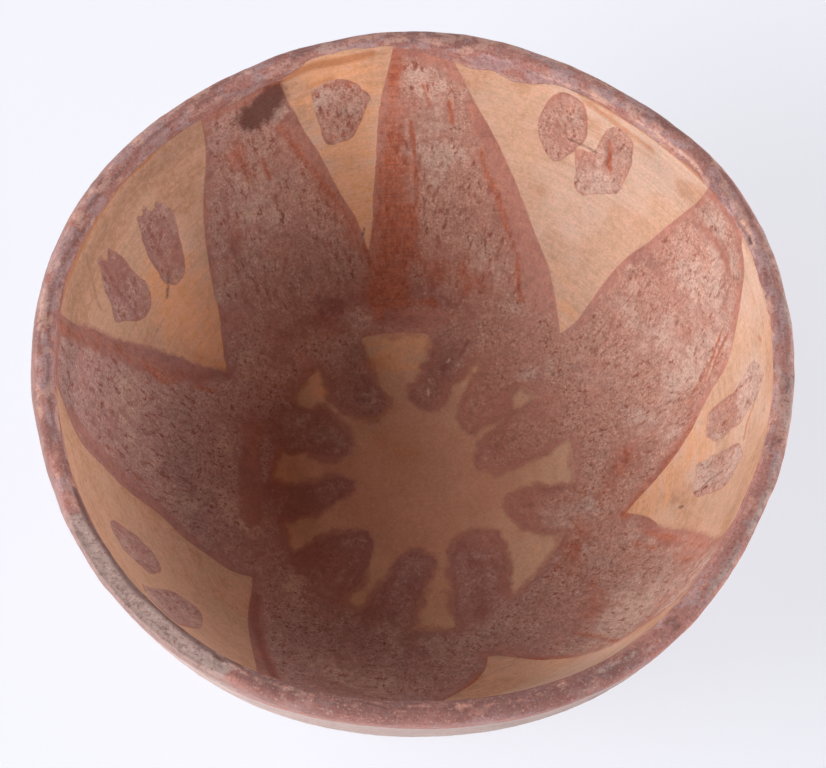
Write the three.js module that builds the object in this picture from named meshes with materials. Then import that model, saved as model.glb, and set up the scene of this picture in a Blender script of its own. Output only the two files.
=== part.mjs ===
// A hand-built red ware bowl, open at the top, painted inside and fired in one piece.
// Millimetres, +Z up, standing on its flattened base, whose centre is the origin.
// The fired wall is continuous. It is modelled as the clay that the potter joined: a pressed
// disc for the base, coils laid on it one by one, and a slimmer coil drawn into the lip.
// Neighbouring pieces share a bevelled lap and fill the wall without a gap.

import * as THREE from 'three';
import { mergeGeometries, mergeVertices } from 'three/addons/utils/BufferGeometryUtils.js';

// Overall form
const RIM_DIAMETER = 200;
const HEIGHT = 87;
const BASE_DIAMETER = 62;
const LIP_LEAN = 11; // degrees that the wall still leans outwards at the lip
const HEEL_SWEEP = 0.56; // share of the reach that the curve runs flat above the base
const SIDE_SWEEP = 0.53; // share of the height that the curve runs steep below the lip

// Clay thickness, square to the surface
const FLOOR_THICKNESS = 6.6;
const HEEL_THICKNESS = 8.6;
const WALL_THICKNESS = 7.4;
const LIP_THICKNESS = 6;
const LIP_CROWN = 2.6; // how far the lip's rounded edge stands above its two sides
const HEEL_ENDS = 0.35; // share of the wall's length over which the heel thins to the wall

// Coils, measured along the outside of the wall
const COIL_COUNT = 6;
const DISC_TURN_UP = 8;
const RIM_COIL_WIDTH = 13;
const LAP = 5; // how much lower each joint ends on the inside, where the clay was smeared down
const COIL_RIDGE = 0.4; // how far the middle of a coil stands out on the outside

// Unevenness of hand work: waves round the bowl, each with its size in millimetres and the
// bearing in degrees of one of its crests, counted from +X towards +Y
const OUT_OF_ROUND = [
  { lobes: 2, size: 0.4, crest: 113 },
  { lobes: 3, size: 0.5, crest: 37 },
  { lobes: 4, size: 0.5, crest: 40 },
  { lobes: 5, size: 0.7, crest: 17 },
  { lobes: 7, size: 0.2, crest: 37 },
  { lobes: 8, size: 0.2, crest: 35 },
];
const LIP_WAVE = [
  { lobes: 1, size: 0.5, crest: 60 },
  { lobes: 3, size: 0.4, crest: 100 },
  { lobes: 5, size: 0.3, crest: 20 },
  { lobes: 7, size: 0.2, crest: 5 },
];
const OUT_OF_ROUND_GROWTH = 1.5; // power of the height by which the bowl goes out of round
const LIP_WAVE_GROWTH = 3; // power of the height by which the lip's wave fades below it

// The stretch of lip that is worn flat
const WEAR_DEPTH = 1.1;
const WEAR_BEARING = 224;
const WEAR_HALF_WIDTH = 24;

// The finished ware's colours, as slip and paint cover the clay
const BUFF_SLIP = 0xc08c64;
const RED_PAINT = 0x7d5046;
const UNGLAZED = 0.75; // roughness

// Fineness of the surface
const SEGMENTS_ROUND = 72;
const STEPS_IN_FLOOR = 5;
const STEPS_IN_TURN_UP = 2;
const STEPS_PER_COIL = 4;
const STEPS_IN_RIM = 3;
const STEPS_IN_LIP = 8;
const SAME_POINT = 1e-3; // corners closer than this are one corner

const RIM_RADIUS = RIM_DIAMETER / 2;
const BASE_RADIUS = BASE_DIAMETER / 2;
const HALF_LIP = LIP_THICKNESS / 2;
const lean = THREE.MathUtils.degToRad(LIP_LEAN);

// The lip leans with the wall, so its top stands a little more than the crown above its edge
const lipTopAboveEdge =
  HALF_LIP * Math.sin(lean) + Math.hypot(HALF_LIP * Math.sin(lean), LIP_CROWN * Math.cos(lean));
const lipEdgeHeight = HEIGHT - lipTopAboveEdge;

// The outside in section, from the edge of the flat base to the outer edge of the lip
const wallLine = new THREE.CubicBezierCurve(
  new THREE.Vector2(BASE_RADIUS, 0),
  new THREE.Vector2(BASE_RADIUS + HEEL_SWEEP * (RIM_RADIUS - BASE_RADIUS), 0),
  new THREE.Vector2(
    RIM_RADIUS - SIDE_SWEEP * lipEdgeHeight * Math.tan(lean),
    lipEdgeHeight * (1 - SIDE_SWEEP),
  ),
  new THREE.Vector2(RIM_RADIUS, lipEdgeHeight),
);
const wallLength = wallLine.getLength();

// Where each joint starts on the outside: over the disc, between coils and under the rim coil
const coilWidth = (wallLength - DISC_TURN_UP - RIM_COIL_WIDTH) / COIL_COUNT;
const joints = Array.from({ length: COIL_COUNT + 1 }, (_, i) => DISC_TURN_UP + i * coilWidth);

function inwardNormal(share) {
  const tangent = wallLine.getTangentAt(share);
  return new THREE.Vector2(-tangent.y, tangent.x);
}

function thicknessAt(share) {
  const heel = HEEL_THICKNESS - WALL_THICKNESS;
  const lip = WALL_THICKNESS - LIP_THICKNESS;
  return (
    WALL_THICKNESS +
    heel * (1 - THREE.MathUtils.smoothstep(share, 0, HEEL_ENDS)) -
    lip * THREE.MathUtils.smoothstep(share, HEEL_ENDS, 1)
  );
}

// Coils bulge a little between their joints, and the scraped inside keeps none of it
function outside(along) {
  const share = along / wallLength;
  const coil = (along - DISC_TURN_UP) / coilWidth;
  const isCoil = coil > 0 && coil < COIL_COUNT;
  const ridge = isCoil ? COIL_RIDGE * Math.abs(Math.sin(Math.PI * coil)) : 0;
  return wallLine.getPointAt(share).addScaledVector(inwardNormal(share), -ridge);
}

function inside(along) {
  const share = along / wallLength;
  return wallLine.getPointAt(share).addScaledVector(inwardNormal(share), thicknessAt(share));
}

// The floor is thinnest at its middle, where the potter's knuckles pressed
function floor(share) {
  const edge = inside(0);
  const rise = (edge.y - FLOOR_THICKNESS) * THREE.MathUtils.smoothstep(share, 0, 1);
  return new THREE.Vector2(edge.x * share, FLOOR_THICKNESS + rise);
}

function lipEdge(turn) {
  const across = inwardNormal(1);
  const up = wallLine.getTangentAt(1);
  return wallLine
    .getPointAt(1)
    .addScaledVector(across, HALF_LIP * (1 - Math.cos(turn)))
    .addScaledVector(up, LIP_CROWN * Math.sin(turn));
}

// Points of one line of the section, from its first place to its last
function line(shape, from, to, steps) {
  return Array.from({ length: steps + 1 }, (_, i) =>
    shape(THREE.MathUtils.lerp(from, to, i / steps)));
}

function jointLine(along) {
  return [outside(along), inside(along - LAP)];
}

// One skin of a piece: its line turned about the axis, with the faces turned over if asked
function skin(points, turnedOver = false) {
  const geometry = new THREE.LatheGeometry(points, SEGMENTS_ROUND).rotateX(Math.PI / 2);
  geometry.deleteAttribute('normal');
  geometry.deleteAttribute('uv');
  if (turnedOver) geometry.index.array.reverse();
  return geometry;
}

function waveAt(waves, bearing) {
  return waves.reduce(
    (sum, { lobes, size, crest }) =>
      sum + size * Math.cos(lobes * (bearing - THREE.MathUtils.degToRad(crest))),
    0,
  );
}

function wearAt(bearing) {
  const away = bearing - THREE.MathUtils.degToRad(WEAR_BEARING);
  const degrees = THREE.MathUtils.radToDeg(Math.abs(Math.atan2(Math.sin(away), Math.cos(away))));
  return 1 - THREE.MathUtils.smoothstep(degrees, WEAR_HALF_WIDTH / 2, WEAR_HALF_WIDTH);
}

// The hand's unevenness, the same for every piece, so that joints stay closed
function unevenPoint(point) {
  const bearing = Math.atan2(point.y, point.x);
  const height = Math.max(0, point.z / HEIGHT);
  const outwards = waveAt(OUT_OF_ROUND, bearing) * height ** OUT_OF_ROUND_GROWTH;
  const scale = 1 + outwards / RIM_RADIUS;
  const lift = waveAt(LIP_WAVE, bearing);
  const raised = point.z + lift * height ** LIP_WAVE_GROWTH;
  const worn = HEIGHT + lift - WEAR_DEPTH * wearAt(bearing);
  return point.set(point.x * scale, point.y * scale, Math.min(raised, worn));
}

// Skins joined edge to edge into one closed piece of clay, without the slivers at the axis
function clayPiece(name, color, skins) {
  const geometry = mergeVertices(mergeGeometries(skins), SAME_POINT);
  const corners = geometry.index.array;
  const kept = [];
  for (let i = 0; i < corners.length; i += 3) {
    const [a, b, c] = corners.slice(i, i + 3);
    if (a !== b && b !== c && c !== a) kept.push(a, b, c);
  }
  geometry.setIndex(kept);
  const position = geometry.attributes.position;
  const point = new THREE.Vector3();
  for (let i = 0; i < position.count; i++) {
    unevenPoint(point.fromBufferAttribute(position, i));
    position.setXYZ(i, point.x, point.y, point.z);
  }
  geometry.computeVertexNormals();
  const mesh = new THREE.Mesh(geometry, new THREE.MeshStandardMaterial({ color, roughness: UNGLAZED }));
  mesh.name = name;
  return mesh;
}

function makeBaseDisc() {
  const [joint] = joints;
  return clayPiece('base_disc', BUFF_SLIP, [
    skin([new THREE.Vector2(0, 0), new THREE.Vector2(BASE_RADIUS, 0)]),
    skin(line(outside, 0, joint, STEPS_IN_TURN_UP)),
    skin(jointLine(joint)),
    skin(line(inside, 0, joint - LAP, STEPS_IN_TURN_UP), true),
    skin(line(floor, 0, 1, STEPS_IN_FLOOR), true),
  ]);
}

function makeWallCoil(index) {
  const [lower, upper] = [joints[index], joints[index + 1]];
  return clayPiece(`wall_coil_${index + 1}`, BUFF_SLIP, [
    skin(line(outside, lower, upper, STEPS_PER_COIL)),
    skin(jointLine(upper)),
    skin(line(inside, lower - LAP, upper - LAP, STEPS_PER_COIL), true),
    skin(jointLine(lower), true),
  ]);
}

function makeRimCoil() {
  const lower = joints[COIL_COUNT];
  return clayPiece('rim_coil', RED_PAINT, [
    skin(line(outside, lower, wallLength, STEPS_IN_RIM)),
    skin(line(lipEdge, 0, Math.PI, STEPS_IN_LIP)),
    skin(line(inside, lower - LAP, wallLength, STEPS_IN_RIM), true),
    skin(jointLine(lower), true),
  ]);
}

const bowl = new THREE.Group();
bowl.add(makeBaseDisc());
for (let index = 0; index < COIL_COUNT; index++) bowl.add(makeWallCoil(index));
bowl.add(makeRimCoil());

export default bowl;
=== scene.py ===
"""The looks of a hand-built red ware bowl: its uneven clay surface, its buff slip and its
painted petals, dashes and dabs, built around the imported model."""

import itertools
import math

import bpy
import numpy as np
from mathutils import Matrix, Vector


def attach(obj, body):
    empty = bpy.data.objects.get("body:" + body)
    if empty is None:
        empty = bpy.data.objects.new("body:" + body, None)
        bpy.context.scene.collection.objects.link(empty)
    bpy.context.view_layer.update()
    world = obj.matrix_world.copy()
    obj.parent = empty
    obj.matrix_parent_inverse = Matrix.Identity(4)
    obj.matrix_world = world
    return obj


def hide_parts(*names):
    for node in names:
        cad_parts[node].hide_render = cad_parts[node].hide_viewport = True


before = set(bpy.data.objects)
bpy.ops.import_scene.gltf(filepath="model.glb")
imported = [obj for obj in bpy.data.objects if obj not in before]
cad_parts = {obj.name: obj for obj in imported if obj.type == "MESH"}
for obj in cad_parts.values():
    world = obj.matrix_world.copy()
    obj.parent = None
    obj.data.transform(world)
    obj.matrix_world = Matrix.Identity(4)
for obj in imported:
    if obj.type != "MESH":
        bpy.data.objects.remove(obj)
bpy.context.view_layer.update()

# The section, in millimetres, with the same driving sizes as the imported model
RIM_RADIUS = 100
HEIGHT = 87
BASE_RADIUS = 31
LIP_LEAN = math.radians(11)
HEEL_SWEEP = 0.56
SIDE_SWEEP = 0.53
FLOOR_THICKNESS = 6.6
HEEL_THICKNESS = 8.6
WALL_THICKNESS = 7.4
LIP_THICKNESS = 6
LIP_CROWN = 2.6
HEEL_ENDS = 0.35
COIL_COUNT = 6
DISC_TURN_UP = 8
RIM_COIL_WIDTH = 13
LAP = 5
COIL_RIDGE = 0.4

# Waves round the bowl: lobes, size in millimetres, bearing of a crest in degrees
OUT_OF_ROUND = [(2, 0.4, 113), (3, 0.5, 37), (4, 0.5, 40), (5, 0.7, 17), (7, 0.2, 37), (8, 0.2, 35)]
LIP_WAVE = [(1, 0.5, 60), (3, 0.4, 100), (5, 0.3, 20), (7, 0.2, 5)]
OUT_OF_ROUND_GROWTH = 1.5
LIP_WAVE_GROWTH = 3
WEAR_DEPTH = 1.1
WEAR_BEARING = 224
WEAR_HALF_WIDTH = 24

# Fineness of the mesh, in millimetres between rows of vertices and in columns round the bowl
INSIDE_STEP = 0.65
LIP_STEP = 0.4
OUTSIDE_STEP = 0.9
COLUMNS = 960
HALVED_BELOW = 56  # radius below which every second column is left out, and again at its halves
WIDEST_STEP = 32  # the most of the grid's columns in one step of a row
CURVE_STEPS = 4000  # in the table of lengths along the wall's curve
SPLINE_STEPS = 5  # between two places of an outline or a stroke

MM = 0.001
FAR = 10.0  # distance from a paint edge, in millimetres, past which it no longer matters
TINY = 1e-12  # keeps a division from meeting zero
HASH_PRIMES = (73856093, 19349663, 83492791)
HASH_SIZE = 4096  # a power of two
CLOUD_GAIN = 1.6  # so that clouds reach from about -1 to 1

# Where the floor turns up into the wall, in millimetres from its middle
FLOOR_ENDS = (40, 54)
# Least radii, in millimetres, by which an outline's and a stroke's reach is turned into bearings
OUTLINE_RADIUS = 40
STROKE_RADIUS = 5
ROLL_RADIUS = 62  # radius of the roll on which brush strokes are laid out, at most

# The painted design. A place is (bearing in degrees from +X towards +Y, millimetres up the
# inside from the middle of the floor). A window is the bare slip between two petals: its
# notch at the ring, then its two sides up to the lip.
WINDOWS = [
    ((45.6, 61.3),
     [(44, 67), (43.7, 75), (43.3, 84), (42, 94), (39.5, 104), (37.8, 113), (35.8, 123),
      (34.3, 131), (33.5, 141)],
     [(51, 68), (56.5, 76), (61.8, 83), (67.2, 93), (72.5, 105), (77, 116), (79.6, 123), (82, 131),
      (85, 141)]),
    ((101, 71),
     [(99.2, 80), (98.5, 88), (97.4, 98), (96.5, 112), (95.3, 124), (93.9, 134), (93, 143)],
     [(102.7, 82), (104.7, 89), (106.6, 98), (108.2, 107), (110, 115), (111, 122), (112.3, 130),
      (113.5, 143)]),
    ((149.9, 62.5),
     [(147.6, 66), (144.8, 70), (141.5, 75.5), (138.8, 84), (136.3, 93), (133.5, 104),
      (131.4, 112), (129, 121), (127.9, 130), (127.5, 143)],
     [(150.8, 65), (153.6, 70.5), (155.5, 77), (159.2, 89), (162.2, 99), (164.4, 107), (166, 116),
      (169.3, 128), (171, 143)]),
    ((214.8, 54.8),
     [(211, 60), (205.3, 65.3), (200.7, 72), (196.2, 78.3), (194, 86), (192, 97), (190.4, 106), (189.4, 117),
      (187.6, 124), (185, 130.5), (183.2, 136), (181, 143)],
     [(218, 57.5), (222, 62.3), (229.2, 73), (234.3, 82), (238.5, 93), (241, 102.5), (246, 120),
      (250, 143)]),
    ((290.1, 60.7),
     [(288, 66.5), (284.3, 73.3), (279.7, 80), (275.3, 89), (270, 106), (266, 122), (263, 143)],
     [(292.8, 62.3), (296.4, 67.5), (299, 74), (302, 81), (305, 90), (308.8, 100), (313.8, 110),
      (318, 125), (320, 143)]),
    ((347.2, 62.5),
     [(345.5, 70), (342.2, 77.5), (340.6, 83), (338.7, 93), (335.2, 108), (331.5, 121),
      (330.4, 130), (331, 143)],
     [(351, 66.5), (355.4, 73.5), (0.8, 84.5), (6.3, 96.5), (9, 109), (13, 118), (16.6, 126.5),
      (19, 132.5), (22.5, 137), (24, 143)]),
]

# The bare disc of slip in the middle of the floor
MEDALLION = [
    (2, 45.6), (17, 46), (34, 44.9), (46, 43), (60, 43), (68, 44), (82, 46), (96, 46.7),
    (109, 46.8), (125, 44.6), (145, 43), (161, 39.6), (181, 39.8), (197, 39), (215, 39.6),
    (237, 41.4), (251, 42.1), (268, 44.7), (279, 46.1), (289, 45.1), (304, 44.5), (322, 44.8),
    (339, 45.4), (350, 46),
]

# Ten dashes that point inwards from the ring
DASHES = [
    [(109, 50), (110, 38), (109, 32), (107, 26.5), (115, 23.9), (124, 25), (130, 29.7),
     (131, 34), (128, 40), (124, 50)],
    [(82, 50), (83, 40), (86, 33.5), (92, 29), (91, 25.5), (82, 23.8), (74, 24.8), (70, 28),
     (70, 31.5), (67.5, 38), (67, 50)],
    [(59, 50), (61, 37), (62, 31), (60, 26.7), (54, 23.3), (46, 22.8), (43, 26), (41, 31.5),
     (40.5, 35), (45, 38.5), (46.5, 50)],
    [(33, 50), (36, 39.5), (36, 33), (34, 27.5), (30, 21.8), (23, 19.3), (13, 20.6), (9, 24.6),
     (10, 29.2), (12, 35), (15, 40), (19, 50)],
    [(358, 50), (357, 38), (356, 31.5), (352, 27.6), (346, 26.8), (339.5, 28.8), (337, 32.5),
     (337, 38), (339, 44), (342, 50)],
    [(303, 50), (311, 40), (318, 34.8), (325, 30), (326, 26.4), (318, 22.3), (307, 21.4),
     (297, 24.4), (291, 29.6), (287.5, 36), (286, 50)],
    [(266, 50), (271, 37.6), (275, 33), (280, 28), (284, 23.9), (278, 21.9), (265, 21.4),
     (260, 23.6), (257, 28.4), (253, 34), (251, 50)],
    [(215, 50), (214, 33.4), (215, 28), (219, 23.2), (227, 19.5), (237, 20.3), (243, 26),
     (244, 32.4), (241, 38), (238, 50)],
    [(182, 50), (181, 33.4), (178, 26), (174, 20.3), (178, 17), (189, 18.5), (197, 24),
     (199, 28.2), (198, 34), (196.5, 50)],
    [(145, 50), (143, 38), (137, 34), (138, 28), (140.5, 23), (147, 20.3), (156, 21.6),
     (162, 27.6), (163, 34), (161, 50)],
]

# Short dabs under the lip, in twos and one alone
DABS = [
    [(105.5, 108.2), (106.8, 111), (107.6, 118.5), (107.8, 124.5), (107.3, 129.5), (103, 131), (99.8, 127.5),
     (97.9, 122.5), (98.5, 118), (100, 113), (101.5, 108.6)],
    [(66, 131), (64, 135), (61, 135.6), (59.2, 131), (58.3, 122.7), (59.5, 117), (61, 112.3), (62.6, 109.6),
     (64.4, 110.7), (66.5, 115.2), (67.4, 119.8), (66.9, 126)],
    [(54.6, 130), (53, 132.8), (50.4, 131.8), (49, 128), (48.5, 119.7), (49.2, 112.5), (51.2, 108),
     (54.2, 105), (55.6, 103.1), (57.3, 104), (58, 109), (59.3, 117), (56, 120)],
    [(143.4, 123.4), (144.2, 121), (145.4, 122.6), (146.2, 116.2), (147.2, 110), (147.3, 104.5),
     (147.5, 98.5), (146.4, 94.2), (144.8, 93), (141.8, 95.3), (140.2, 102), (139.1, 108.2),
     (138.5, 113), (139.4, 117.6), (140.8, 121.8), (142, 119.8)],
    [(156.4, 126.2), (155, 122.8), (153.4, 124.6), (152, 117.7), (151.4, 110.5), (150.8, 104),
     (151.6, 98.3), (153.8, 95.8), (157.5, 98.6), (159.7, 103.5), (161.3, 107), (160, 112),
     (158.6, 120), (157.6, 123)],
    [(206, 114), (203.4, 112), (202.4, 106), (203.4, 98), (206, 91.8), (209.6, 90.6), (212, 95),
     (212.3, 101.4), (210.6, 106), (208.6, 112.6)],
    [(218, 117), (216.8, 108), (216, 97), (217.6, 90.8), (220.6, 86.2), (224, 90), (226.4, 97.4),
     (226.6, 107), (226.6, 118), (222, 121)],
    [(3, 128), (0, 129.4), (358.4, 128), (357, 124), (355.8, 117), (355.8, 110), (356, 101),
     (358.6, 95), (1.2, 94.6), (3.2, 97.4), (3.6, 105), (3.4, 113), (4.6, 121)],
    [(352, 114), (349.2, 119), (346.8, 116), (344.9, 112.5), (345, 103.4), (346, 94),
     (348.8, 89.9), (351, 90.6), (353.4, 90.4), (353.6, 95.4), (353.2, 103)],
]

# Where the lip's paint starts on the inside and ends on the outside: bearing, place along the
# section in millimetres
LIP_PAINT_INSIDE = [
    (0, 140), (12, 139.5), (24, 139), (34, 138), (45, 137), (58, 138), (65, 137.6), (69, 134.4), (73, 132.3),
    (76, 134), (80, 133.6), (85, 136), (93, 139.6), (100, 140.6), (108, 140), (113, 136.6), (120, 135.5),
    (128, 136.5), (140, 137.6), (155, 138), (172, 137), (190, 137), (205, 138.4), (218, 138.6), (235, 138.4),
    (255, 137.6), (275, 139), (290, 138), (305, 138.4), (322, 138), (340, 138.6),
]
LIP_PAINT_OUTSIDE = [
    (0, 150), (60, 149.5), (200, 149.5), (225, 151), (245, 153.6), (300, 153.6), (335, 151),
]

# Strokes over paint and slip: half width in millimetres, strength, places along its line.
# First rust, where the crust has gone and the red is bared
RUST_STROKES = [
    (13, 1.1, [(96.8, 60), (96, 66), (95, 73), (94, 80)]),
    (10, 0.9, [(94.6, 80), (94.4, 90), (94, 98)]),
    (8, 0.65, [(94, 96), (93.8, 108), (93.8, 116)]),
    (4.5, 0.6, [(94, 114), (93.4, 128), (92.6, 139)]),
    (1.4, 0.8, [(90.4, 112), (89.6, 98), (89, 84)]),
    (2.2, 1, [(101.8, 73), (100.2, 65.5), (97.6, 59.8)]),
    (3, 0.7, [(96, 57.5), (90, 55.8), (84, 55.4)]),
    (2.8, 0.65, [(77, 105), (75.2, 97.7), (72, 90), (70, 84.5), (67.5, 80)]),
    (1.8, 0.65, [(67.5, 80), (65.8, 77), (64.1, 73.5), (61.5, 66.4), (59.8, 63.4)]),
    (1.6, 0.8, [(83.6, 120), (82.8, 113)]),
    (1.2, 0.6, [(88.4, 126), (87, 118)]),
    (2.5, 0.35, [(124, 116), (126.5, 102), (130, 87)]),
    (1, 0.8, [(118.8, 111), (118.4, 103.5)]),
    (2.6, 0.7, [(114.5, 120), (112, 109), (108.5, 96), (105.5, 86), (103.4, 78)]),
    (3.5, 0.8, [(121, 139), (115.5, 137.5), (112.5, 135.5)]),
    (6, 0.5, [(167.5, 112), (165, 98), (162.8, 84), (160, 75)]),
    (8, 0.45, [(173, 136), (170.5, 125), (168.4, 112)]),
    (1.2, 0.6, [(166.4, 107), (164, 92), (161.4, 80), (161.7, 76)]),
    (3, 0.45, [(160.5, 71.6), (156.4, 63)]),
    (1.3, 0.7, [(185.2, 102), (185.9, 95), (188.7, 84), (190, 79)]),
    (2.4, 0.6, [(340.8, 72.7), (337.8, 85.4), (334, 101), (331, 116)]),
    (2.4, 0.5, [(338.2, 69), (335.3, 81)]),
    (2.6, 0.6, [(332.9, 92), (329.7, 107)]),
    (2.5, 0.5, [(310.4, 72), (310.7, 87), (308.5, 112)]),
    (4, 0.65, [(3, 90), (1.4, 83), (357.8, 76.5), (354.9, 73), (352.9, 67.6), (347.2, 62.6)]),
    (14, 0.5, [(4, 63), (358, 57), (350, 54)]),
    (11, 0.48, [(345, 50.4), (335, 50), (325, 53)]),
    (10, 0.42, [(325, 62), (318, 70)]),
    (2.5, 0.55, [(12, 100), (10.5, 95), (8, 88)]),
    (0.9, 0.8, [(15.8, 113), (13.5, 105), (10, 97)]),
    (0.9, 0.7, [(14, 114), (12, 105), (9.4, 99)]),
    (2.2, 0.7, [(303.4, 84), (300, 75), (296, 67)]),
    (2.4, 0.7, [(286, 70), (281, 79), (277, 88)]),
    (1.4, 0.8, [(53.6, 126), (53, 122), (52.4, 117)]),
    (3, 0.5, [(107.8, 127), (104, 129.6), (100.6, 127.5)]),
    (2.6, 0.5, [(105, 110), (102.4, 110.4)]),
    (10, 0.4, [(125, 138), (119, 136), (122, 124), (123, 108)]),
    (8, 0.5, [(111, 104), (107, 88), (103, 72)]),
    (12, 0.6, [(98, 78), (90, 70), (82, 64), (72, 64)]),
]
# Places where the paint's edge is thin and blurred
THIN_STROKES = [
    (6, 1, [(305, 90), (308.8, 100), (313.8, 110), (318, 125), (320, 141)]),
    (4, 0.7, [(342, 78), (338.7, 93), (335.2, 108), (331.5, 121), (331, 140)]),
    (4, 0.6, [(150, 62.5), (157, 82), (163, 103), (168, 124)]),
    (5, 0.6, [(143, 124), (143.5, 118)]),
    (6, 0.6, [(156, 126), (155.5, 118)]),
    (5, 0.6, [(206, 112), (221, 116)]),
]
# Paint without crust
PLAIN_STROKES = [
    (6, 1, [(78, 118), (75, 110), (71, 100), (67, 90), (63.5, 81), (60, 73), (55, 66)]),
    (4.5, 1, [(111.5, 120), (109, 108), (107, 100), (105, 92)]),
    (4.5, 1, [(172, 136), (169.5, 124), (167, 110), (163, 92), (159, 78), (154, 68)]),
    (3.5, 1, [(185, 124), (187, 114), (188, 104), (191, 90), (195, 78), (203, 68)]),
    (4, 0.4, [(342, 72), (338, 84), (333, 100), (329, 118)]),
    (3.5, 1, [(100, 52), (90, 51), (80, 51)]),
    (4.5, 0.9, [(161.7, 48.7), (176, 46), (193, 46.4)]),
    (3, 0.9, [(222, 59), (232, 72), (238, 82), (243, 94), (247, 108)]),
    (4, 0.5, [(33, 122), (27, 126), (21, 124)]),
]
# Paint laid on thick and dark
MAROON_STROKES = [
    (12, 0.75, [(128, 58), (114, 58), (100, 58), (88, 58), (74, 56)]),
    (8, 0.5, [(116, 52), (100, 51.5), (90, 51), (80, 51), (62, 52)]),
    (9, 0.2, [(140, 50), (165, 49), (180, 47), (210, 46)]),
    (3.2, 0.85, [(221, 58.5), (231, 71), (237, 81), (242, 93), (246, 107)]),
    (4.5, 0.6, [(160, 78), (156, 69), (151, 62)]),
    (1.2, 0.9, [(70.2, 46.8), (71.3, 42)]),
    (8, 0.4, [(225, 42), (240, 46), (255, 49), (270, 51), (290, 50)]),
    (11, 0.5, [(145, 24), (147, 40)]),
    (10, 0.45, [(112, 27), (116, 44)]),
    (9, 0.55, [(78, 27), (75, 42)]),
    (9, 0.3, [(272, 26), (262, 44)]),
    (10, 0.6, [(307, 26), (296, 44)]),
    (3, 0.6, [(126, 118), (128.5, 102), (131, 87), (134, 72)]),
    (2.6, 0.7, [(145.2, 98), (144.6, 108), (144.2, 121)]),
    (2.2, 0.6, [(140.6, 108), (141, 120)]),
    (2.6, 0.7, [(156.4, 101), (156.6, 112), (156, 124)]),
    (2.2, 0.6, [(152.8, 104), (153.4, 113)]),
    (9, 0.5, [(142, 99), (142, 120)]),
    (9, 0.5, [(155, 100), (155, 123)]),
    # On the lip: its dark bands
    (1.5, 0.6, [(122, 141), (135, 141.6), (145, 140.8), (152, 141.8), (160, 141), (168, 141.8),
                (178, 140.6)]),
    (1.5, 0.6, [(178, 140.6), (190, 141), (204, 140.4)]),
    (2.6, 0.6, [(130, 143.4), (98, 144.4), (75, 144.8), (50, 144.6), (25, 144)]),
    (2.4, 0.3, [(28, 142), (5, 141.6), (345, 142.6), (322, 141.6)]),
    (12, 0.8, [(246, 142), (258, 142), (270, 142), (285, 142), (302, 142)]),
]
# Orange-brown that has run or rubbed into the slip
STAIN_STROKES = [
    (3, 0.9, [(113, 136.6), (107.4, 138.2), (103, 137.4), (97, 138.6)]),
    (1.9, 1, [(122, 137), (135, 138.2), (139.4, 137), (145, 138), (153, 137.3), (166, 137.2),
                (172.6, 138)]),
    (1.5, 0.9, [(172.6, 138), (183, 137), (195, 138), (205, 139.5)]),
    (1.3, 0.9, [(35, 137.6), (48, 137.2), (61, 137.6)]),
    (1.2, 0.8, [(6, 131.6), (7, 130.4)]),
    (1, 0.7, [(353, 133.4), (353.3, 132)]),
    (3.5, 0.6, [(104, 131.5), (108, 130.5)]),
    (3.5, 0.6, [(60, 136), (54, 134), (46, 133)]),
    (2, 0.6, [(200, 137.4), (212, 138), (222, 137.6)]),
    (1.6, 0.7, [(352, 118), (355, 120), (0, 131)]),
    (1.4, 0.8, [(2, 97), (357.6, 99)]),
    (22, 0.5, [(120, 12), (112, 38)]),
    (6, 0.5, [(150, 65), (153.4, 76)]),
]
# Warmer slip, then paler slip
HONEY_STROKES = [
    (15, 0.6, [(46, 62), (51, 76)]),
    (18, 1, [(101, 72), (102, 92), (103, 112), (103, 134)]),
    (22, 1, [(149, 62), (147, 80), (147, 96)]),
    (18, 0.8, [(347, 62), (352, 76), (0, 92)]),
    (12, 0.5, [(290, 60), (287, 72)]),
    (9, 0.5, [(76, 134), (62, 135)]),
    (14, 0.7, [(70, 42), (98, 42), (128, 42)]),
    (12, 0.4, [(152, 40), (190, 38), (225, 39)]),
    (10, 0.3, [(320, 42), (345, 44), (5, 44), (25, 44)]),
]
PALE_STROKES = [
    (18, 0.7, [(145, 122), (150, 104)]),
    (14, 0.7, [(228, 112), (232, 92)]),
    (12, 0.7, [(274, 104), (300, 96)]),
]
# Lighter and darker places, in slip and paint alike
LIGHTER_STROKES = [
    (24, 1, [(135, 50), (160, 46), (190, 44), (225, 42)]),
    (12, 0.6, [(108, 132), (98, 130), (88, 126)]),
    (16, 0.5, [(146, 100), (149, 74)]),
    (12, 0.8, [(213, 50), (222, 62)]),
    (16, 0.4, [(318, 90), (322, 120)]),
    (10, 0.6, [(342, 74), (336, 96), (331, 118)]),
    (10, 0.6, [(301, 80), (308, 100), (316, 120)]),
    (9, 0.5, [(95, 100), (94.6, 124)]),
]
DARKER_STROKES = [
    (14, 0.5, [(114, 68), (100, 66), (90, 64)]),
    (12, 0.8, [(168, 130), (182, 128)]),
    (10, 0.7, [(132, 133), (150, 132), (166, 131)]),
    (14, 0.4, [(172, 66), (190, 64)]),
    (24, 0.25, [(100, 2), (100, 10)]),
    (14, 0.8, [(118, 26), (114, 42)]),
    (9, 0.5, [(78, 27), (75, 44)]),
    (11, 0.5, [(145, 24), (147, 40)]),
    (10, 0.4, [(20, 128), (45, 130)]),
]
# The fire cloud under the lip
SMOKE_STROKES = [
    (9.5, 1.1, [(114.8, 131.6), (115.6, 130.6)]),
    (10.5, 1.1, [(117.2, 128.6), (118.4, 127.8)]),
    (4.5, 0.6, [(112.2, 133.6), (113.6, 132)]),
    (9, 0.4, [(111, 134), (114, 133), (121, 126)]),
]
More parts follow.
